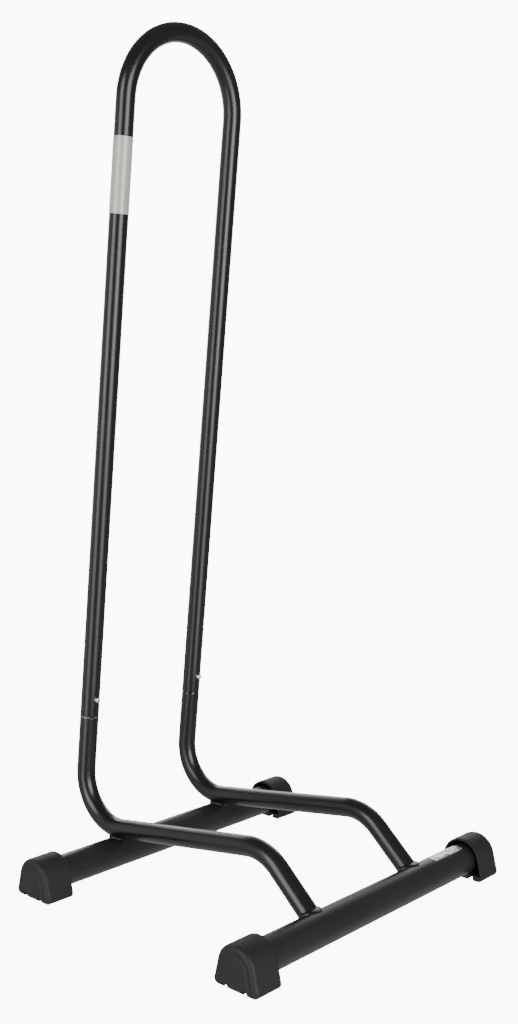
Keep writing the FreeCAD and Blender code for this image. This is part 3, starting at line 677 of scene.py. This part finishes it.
def cavity_outline():
    """The inside of the shell: set in by the wall, cut off at its floor, with the tube's bed."""
    inside = foot_outline(shell_wall, grooved=False)
    low = inside[:, 1] < cavity_floor
    inside[low, 1] = cavity_floor
    bed = -np.sqrt(np.clip(socket_radius ** 2 - inside[:, 0] ** 2, 0, None))
    inside[low, 1] = np.minimum(inside[low, 1], bed[low])
    return inside


def ring_at(outline, x):
    return np.column_stack([np.full(len(outline), x), outline])


def shrunk(outline, share, centre_z):
    centre = np.array([0.0, centre_z])
    return centre + share * (outline - centre)


end_round, mouth_round = 4.3 * mm, 0.5 * mm
band_x = end_x - 0.9 * mm
border = foot_outline(end_round, grooved=False)
# The raised panel: the size of each ring as a share of the border, and its millimetres off the end.
panel = [(0.10, 0.0), (0.25, 0.01), (0.40, 0.04), (0.55, 0.09), (0.68, 0.16), (0.76, 0.22),
         (0.79, 0.30), (0.805, 0.45), (0.815, 0.85), (0.825, 1.02), (0.84, 1.08), (0.86, 1.06),
         (0.88, 0.96), (0.92, 0.91)]
rings = [ring_at(shrunk(border, share, middle_z), end_x - sunk * mm) for share, sunk in panel]
for roll in np.radians(np.arange(90, -1, -11.25)):
    outline = foot_outline(end_round * (1 - cos(roll)))
    rings.append(ring_at(outline, band_x - end_round * (1 - sin(roll))))
side_stations = np.linspace(band_x - end_round - 1 * mm, mouth_x + 0.6 * mm, 9)
rings += [ring_at(foot_outline(0.0), x) for x in side_stations]
for roll in np.radians([30, 60, 90]):
    outline = foot_outline(mouth_round * (1 - cos(roll)))
    rings.append(ring_at(outline, mouth_x + mouth_round * (1 - sin(roll))))
cavity = cavity_outline()
rings += [ring_at(cavity, x) for x in np.linspace(mouth_x, 0.0, 7)]
rings += [ring_at(shrunk(cavity, share, 0.0), 0.0) for share in (0.6, 0.2)]
shell = np.array(rings)
columns = shell.shape[1]
shell_index = np.arange(shell.shape[0] * columns).reshape(-1, columns)
shell_faces = net(shell_index, wrap_columns=True).reshape(-1, 4).tolist()
poles = np.array([[end_x, 0.0, middle_z], [0.0, 0.0, 0.0]])
shell_points = np.concatenate([shell.reshape(-1, 3), poles])
first_pole = shell_index.size
for pole, ring in ((first_pole, shell_index[0][::-1]), (first_pole + 1, shell_index[-1])):
    shell_faces += [[pole, int(a), int(b)] for a, b in zip(np.roll(ring, -1), ring)]

rib_half, rib_top = 1.0 * mm, 20.7 * mm
rib_ends = np.array([mouth_x + recess_depth, -0.2 * mm])
rib_foot = socket_radius + 0.2 * mm
rib_section = np.array([[socket_radius, -0.8], [rib_foot, -1], [rib_top, -1],
                        [rib_top, 1], [rib_foot, 1], [socket_radius, 0.8]])
rib_section[:, 1] *= rib_half
rib_corners = len(rib_section)
for lie in np.radians(np.arange(0, 181, 30)):
    y = rib_section[:, 0] * cos(lie) - rib_section[:, 1] * sin(lie)
    z = rib_section[:, 0] * sin(lie) + rib_section[:, 1] * cos(lie)
    rib = np.array([np.column_stack([np.full(rib_corners, x), y, z]) for x in rib_ends])
    rib_index = len(shell_points) + np.arange(2 * rib_corners).reshape(2, rib_corners)
    shell_points = np.concatenate([shell_points, rib.reshape(-1, 3)])
    shell_faces += net(rib_index, wrap_columns=True).reshape(-1, 4)[:, ::-1].tolist()
    shell_faces += [rib_index[0].tolist(), rib_index[1][::-1].tolist()]

for end, axis_y in (("front", front_axis_y), ("rear", rear_axis_y)):
    for side, way in (("left", -1.0), ("right", 1.0)):
        points = shell_points * [way, way, 1.0] + [way * base_half, axis_y, base_axis_z]
        finished_piece(f"end_cap_{end}_{side}", points, list(shell_faces), foot_plastic, "frame",
                       [f"foot_{end}_{side}"], crease=32.0)

# ------------------------------------------------------------------ snap buttons
# Bright zinc-plated steel pins, turned on a lathe and riveted to a leaf spring inside the spigot.
# The spring is a bent strip of rolled steel, made as one fixed piece; only the pin has a body of
# its own.
zinc = Finish("bright_zinc_plate", Metallic=1.0, Base_Color=(0.74, 0.75, 0.77, 1.0))
plating = zinc.noise(900.0, 3.0, 0.6)
zinc.wear(Roughness=0.20 + 0.12 * (plating - 0.5))
zinc.bumps((zinc.noise(2500.0, 1.0), 0.006 * mm), (plating, 0.01 * mm))
rolled = Finish("rolled_spring_steel", Metallic=1.0)
streaks = rolled.noise(900.0, 3.0, 0.6, rolled.stretched(1.0, 1.0, 0.06))
rolled.wear(Base_Color=rolled.blend(streaks, (0.34, 0.34, 0.36, 1.0), (0.50, 0.50, 0.51, 1.0)))
rolled.wear(Roughness=0.26 + 0.16 * (streaks - 0.5))
rolled.bumps((streaks, 0.01 * mm))

leaf_width, leaf_thick = 6.0 * mm, 0.5 * mm
soft_edge = 0.15 * mm
leaf_out = sqrt(spigot_bore ** 2 - (leaf_width / 2) ** 2) - 0.1 * mm
leaf_in = leaf_out - leaf_thick
pin_radius, pin_tip = 3.0 * mm, tube_radius + 4.0 * mm
rivet_radius, head_radius, head_thick = 1.5 * mm, 2.3 * mm, 0.8 * mm
rivet_hole, rivet_lip = rivet_radius + 0.1 * mm, 0.08 * mm
tip_round = 2.0 * mm
tip_arc = np.radians(np.linspace(0, 90, 9))
pin_profile = np.array([
    [leaf_in - head_thick, 0.4 * mm], [leaf_in - head_thick, 1.3 * mm],
    [leaf_in - 0.93 * head_thick, 1.8 * mm], [leaf_in - 0.7 * head_thick, 2.15 * mm],
    [leaf_in - 0.4 * head_thick, head_radius], [leaf_in, head_radius], [leaf_in, rivet_radius],
    [leaf_out, rivet_radius], [leaf_out, pin_radius - soft_edge],
    [leaf_out + soft_edge, pin_radius], [tube_radius, pin_radius]])
tip_profile = np.column_stack([pin_tip - tip_round + tip_round * np.sin(tip_arc),
                               pin_radius - tip_round + tip_round * np.cos(tip_arc)])
tip_profile[-1, 0] -= 0.03 * mm
crown = np.array([[pin_tip - 0.01 * mm, 0.6 * mm], [pin_tip, 0.25 * mm]])
pin_profile = np.concatenate([pin_profile, tip_profile, crown])
pin_sides = 48
around = np.arange(pin_sides) * 2 * pi / pin_sides

leaf_sweep = (leaf_out + leaf_in) / 2
leaf_top, leaf_low = 8.0 * mm, 14.0 * mm
leaf_line, leaf_marks = bent_line(
    (leaf_sweep, leaf_top), -pi / 2,
    [(leaf_top + leaf_low, 0.0), (pi * leaf_sweep, -pi), (leaf_top + leaf_low, 0.0)])
leaf_window = 2.4 * mm
leaf_hole_rows = leaf_top + np.linspace(-leaf_window, leaf_window, 7)
leaf_rows = np.concatenate([[0.0, 2 * mm], leaf_hole_rows, [14 * mm, 18 * mm],
                            np.linspace(leaf_marks[1], leaf_marks[2], 25),
                            np.linspace(leaf_marks[2], leaf_marks[3], 6)[1:]])
# The strip's section goes along its inner face, round an edge, back along its outer face and round
# the other edge. Columns 1 to 7 and 12 to 18 border the rivet's hole, and the faces between them
# cross each other there, under the pin's shoulder.
face_b = np.array([-2.9, -2.25, -1.5, -0.75, 0.0, 0.75, 1.5, 2.25, 2.9]) * mm
half = leaf_thick / 2
right_edge = np.array([[leaf_width / 2, 0.6 * half], [leaf_width / 2, -0.6 * half]])
section = np.concatenate([np.column_stack([face_b, np.full(len(face_b), half)]), right_edge,
                          np.column_stack([face_b[::-1], np.full(len(face_b), -half)]),
                          -right_edge])
for side, leg_x in (("left", -leg_reach), ("right", leg_reach)):
    hub = seam + leg_x * across + button_height * up_leg
    radius = pin_profile[:, 1:, None]
    points = hub + pin_profile[:, :1, None] * to_front
    points = points + radius * (np.cos(around)[:, None] * across + np.sin(around)[:, None] * up_leg)
    index = np.arange(points.shape[0] * len(around)).reshape(-1, len(around))
    faces = net(index, wrap_columns=True).reshape(-1, 4).tolist()
    ends = hub + np.array([[leaf_in - head_thick], [pin_tip]]) * to_front
    faces += [[index.size, int(a), int(b)] for a, b in zip(index[0], np.roll(index[0], -1))]
    faces += [[index.size + 1, int(b), int(a)] for a, b in zip(index[-1], np.roll(index[-1], -1))]
    points = np.concatenate([points.reshape(-1, 3), ends])
    finished_piece(f"button_pin_{side}", points, faces, zinc.material, f"{side}_button",
                   [f"snap_button_{side}"], crease=35.0)

    centre, heading = leaf_line(leaf_rows)
    u = centre[:, :1] + section[:, 1] * np.sin(heading)[:, None]
    v = centre[:, 1:] - section[:, 1] * np.cos(heading)[:, None]
    strip = hub + u[..., None] * to_front + v[..., None] * up_leg + section[:, 0, None] * across
    index = np.arange(strip.shape[0] * len(section)).reshape(strip.shape[:2])
    near = np.flatnonzero(np.abs(leaf_rows - leaf_top) < leaf_window + slack)
    kept = np.ones((index.shape[0] - 1, index.shape[1]), bool)
    kept[np.ix_(near[:-1], np.arange(1, 7))] = False
    kept[np.ix_(near[:-1], np.arange(12, 18))] = False
    faces = net(index, wrap_columns=True)[kept]
    outer_ring = index[tuple(window(near, np.arange(1, 8)).T)]
    inner_ring = index[tuple(window(near, np.arange(18, 11, -1)).T)]
    flat_depths = [lambda b, d=d: np.full(len(b), d) for d in (leaf_out, leaf_in)]
    points, faces = drilled(strip.reshape(-1, 3), faces, outer_ring, inner_ring, hub, to_front,
                            flat_depths, rivet_hole, rivet_lip)
    faces = faces.tolist() + [index[0].tolist()[::-1], index[-1].tolist()]
    leaf = finished_piece(f"leaf_spring_{side}", points, faces, rolled.material, None,
                          [f"button_spring_{side}"], crease=35.0)
    back, front = hub - leaf_in * to_front, hub + leaf_in * to_front
    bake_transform(leaf)

# ------------------------------------------------------------------ labels
# A bare band of pale film wound once round the left leg, with its end lapped over its start, and a
# bare patch of creased foil bent over the top of the front base tube.
film = Finish("bare_label_film", Specular_IOR_Level=0.75, IOR=1.5)
fibres = film.noise(700.0, 3.0, 0.6, film.stretched(1.0, 1.0, 0.25))
stain = film.noise(22.0, 2.0)
film.wear(Base_Color=film.blend(stain, (0.338, 0.333, 0.278, 1.0), (0.390, 0.385, 0.328, 1.0)))
film.wear(Roughness=0.22 + 0.1 * (fibres - 0.5))
waves = film.noise(90.0, 2.0, 0.5, film.stretched(1.0, 1.0, 0.5))
film.bumps((fibres, 0.012 * mm), (waves, 0.10 * mm))


def thin_sheet(outer, inner):
    """Closes two matching grids of points into one thin sheet, with a strip along each edge."""
    rows, columns = outer.shape[:2]
    top = np.arange(rows * columns).reshape(rows, columns)
    under = top + rows * columns
    faces = [net(top).reshape(-1, 4), net(under).reshape(-1, 4)[:, ::-1]]
    for upper, lower in ((top[0], under[0]), (top[-1, ::-1], under[-1, ::-1]),
                         (top[::-1, 0], under[::-1, 0]), (top[:, -1], under[:, -1])):
        faces.append(net(np.stack([lower, upper])).reshape(-1, 4))
    return np.concatenate([outer.reshape(-1, 3), inner.reshape(-1, 3)]), np.concatenate(faces)


label_drop, label_length = 38.0 * mm, 76.0 * mm
label_base = leg_length - (label_drop + label_length)
lap, ramp, lap_rise = 0.55, 0.35, 0.10 * mm
film_start = radians(215)
film_top, film_under = 0.14 * mm, 0.06 * mm
wind = np.linspace(0, 2 * pi + lap, 110)
lift = lap_rise * np.clip((wind - 2 * pi + ramp) / ramp, 0, 1) ** 2
height = np.linspace(0, label_length, 30)
swing = wind[:, None] + film_start
turned = np.cos(swing)[..., None] * across + np.sin(swing)[..., None] * to_front
centres = seam - leg_reach * across + (label_base + height)[:, None] * up_leg
shells = [centres + (tube_radius + depth + lift)[:, None, None] * turned
          for depth in (film_top, film_under)]
points, faces = thin_sheet(*shells)
finished_piece("leg_band_label", points, faces, film.material, "frame",
               ["leg_label"], crease=30.0)

foil = Finish("creased_foil", Metallic=0.85)
creases = foil.cells(160.0)
crumple = foil.noise(260.0, 4.0, 0.65)
# The foil's colour is painted paler and darker with its crumple: a painted sheen and painted shade
# of its creases, over their real bumps.
painted_crinkle_sheen = foil.between(crumple, 0.40, 0.60)
foil.wear(Base_Color=foil.blend(painted_crinkle_sheen, (0.34, 0.34, 0.35, 1.0), (0.74, 0.74, 0.75, 1.0)))
foil.wear(Roughness=0.28 + 0.24 * (crumple - 0.5))
foil.bumps((creases, 0.8 * mm), (crumple, 0.45 * mm))
patch_start, patch_end = 100.5 * mm, 150.5 * mm
patch_back, patch_front = radians(31.5), radians(23.0)
patch_corner, patch_inset = 2.5 * mm, 0.2 * mm
foil_top, foil_under, crinkle_rise = 0.16 * mm, 0.06 * mm, 0.035 * mm
u = np.linspace(-1, 1, 70)[:, None]
v = np.linspace(-1, 1, 48)[None, :]
half_turn = (patch_back + patch_front) / 2
turned = half_turn * v + (patch_back - patch_front) / 2 + 0 * u
wide = half_turn * base_radius
over = np.clip(np.abs(v) * wide - (wide - patch_corner), 0, patch_corner)
cut = patch_corner - np.sqrt(patch_corner ** 2 - over ** 2)
x = (patch_start + patch_end) / 2 + u * ((patch_end - patch_start) / 2 - patch_inset - cut)
crinkle = np.sin(900 * x + 9 * v) * np.sin(620 * x - 14 * v) + np.sin(1500 * x + 23 * v) * 0.6
layers = []
for depth, wave in ((foil_top, crinkle_rise * crinkle), (foil_under, 0 * crinkle)):
    reach = base_radius + depth + wave
    y, z = front_axis_y + reach * np.sin(turned), base_axis_z + reach * np.cos(turned)
    layers.append(np.stack([x, y, z], axis=-1))
points, faces = thin_sheet(*layers)
finished_piece("foil_patch", points, faces, foil.material, "frame",
               ["base_label"], crease=50.0)

# ------------------------------------------------------------------ studio
# A pale paper floor that fades into a pale surround. Two tall soft boxes stand in front of the rack
# and to its left, each with the light that the floor throws back below it. Behind the rack stand
# three boxes and two dim screens.
floor_reach, fade_start, fade_end = 2.6, 0.7, 2.3
spread = np.linspace(0, floor_reach, 20)[:, None]
swing = np.linspace(0, 2 * pi, 65)[None, :-1]
disc = np.stack([spread * np.cos(swing), spread * np.sin(swing), 0 * spread * swing], axis=-1)
index = np.arange(disc[..., 0].size).reshape(disc.shape[:2])
mesh = bpy.data.meshes.new("studio_floor")
faces = net(index, wrap_columns=True).reshape(-1, 4)
mesh.from_pydata(disc.reshape(-1, 3).tolist(), [], faces.tolist())
floor = bpy.data.objects.new("studio_floor", mesh)
bpy.context.scene.collection.objects.link(floor)
floor.visible_glossy = False
floor.visible_diffuse = False
floor.visible_shadow = False
white = (1.0, 1.0, 1.0, 1.0)
paper = Finish("pale_paper", Base_Color=(0.9, 0.9, 0.9, 1.0), Roughness=0.9,
               Specular_IOR_Level=0.0, Emission_Color=white, Emission_Strength=9.5)
reach = paper.node("ShaderNodeVectorMath", {"operation": "LENGTH"}, {0: paper.place}, "Value")
paper.wear(Alpha=paper.between(reach, fade_start, fade_end, 1.0, 0.0))
mesh.materials.append(paper.material)

surround = bpy.data.worlds.new("studio_surround")
bpy.context.scene.world = surround
air = Nodes(surround)
direction = air.node("ShaderNodeTexCoord", output="Generated")
rise = air.node("ShaderNodeSeparateXYZ", None, {0: direction}, "Z")
room_light, floor_light, backdrop = 0.26, 0.65, 11.0
from_floor = air.node("ShaderNodeMapRange", {"interpolation_type": "SMOOTHSTEP"},
                      {"Value": rise, "From Min": -0.15, "From Max": -0.6,
                       "To Min": room_light, "To Max": floor_light})
felt = air.node("ShaderNodeBackground", None, {"Color": white, "Strength": from_floor})
seen = air.node("ShaderNodeBackground", None, {"Color": white, "Strength": backdrop})
straight = air.node("ShaderNodeLightPath", output="Is Camera Ray")
either = air.node("ShaderNodeMixShader", None, {0: straight, 1: felt, 2: seen})
air.node("ShaderNodeOutputWorld", None, {"Surface": either})


def soft_light(name, place, aim, width, height, brightness):
    """A rectangular soft box. Its power is its brightness times its area times pi."""
    lamp = bpy.data.lights.new(name, "AREA")
    lamp.shape = "RECTANGLE"
    lamp.size, lamp.size_y = width, height
    lamp.energy = brightness * width * height * pi
    thing = bpy.data.objects.new(name, lamp)
    thing.location = place
    thing.rotation_mode = "QUATERNION"
    thing.rotation_quaternion = (Vector(aim) - Vector(place)).to_track_quat("-Z", "Y")
    thing.visible_camera = False
    bpy.context.scene.collection.objects.link(thing)


soft_light("left_soft_box", (-2.2, 0.03, 1.05), (0.0, 0.12, 1.05), 1.2, 1.9, 5.8)
soft_light("left_bounce", (-2.2, 0.03, -0.45), (0.0, 0.12, -0.45), 1.2, 1.1, 3.0)
soft_light("front_soft_box", (-0.42, -2.05, 0.83), (0.0, 0.12, 0.83), 1.35, 1.46, 8.0)
soft_light("front_bounce", (-0.42, -2.05, -0.40), (0.0, 0.12, -0.40), 1.35, 1.0, 3.6)
soft_light("back_soft_box", (1.08, 1.72, 0.93), (0.0, 0.0, 0.1), 0.75, 0.8, 3.7)
soft_light("rear_soft_box", (0.25, 2.2, 1.0), (0.0, 0.0, 1.0), 0.9, 1.9, 2.0)
soft_light("right_soft_box", (1.84, 0.84, 1.00), (0.0, 0.0, 0.1), 0.95, 0.85, 2.4)
soft_light("right_screen", (1.75, 1.25, 0.42), (0.0, 0.0, 0.1), 1.0, 0.8, 1.6)
soft_light("side_screen", (-1.45, 1.85, 0.45), (0.0, 0.0, 0.3), 2.2, 2.0, 0.6)
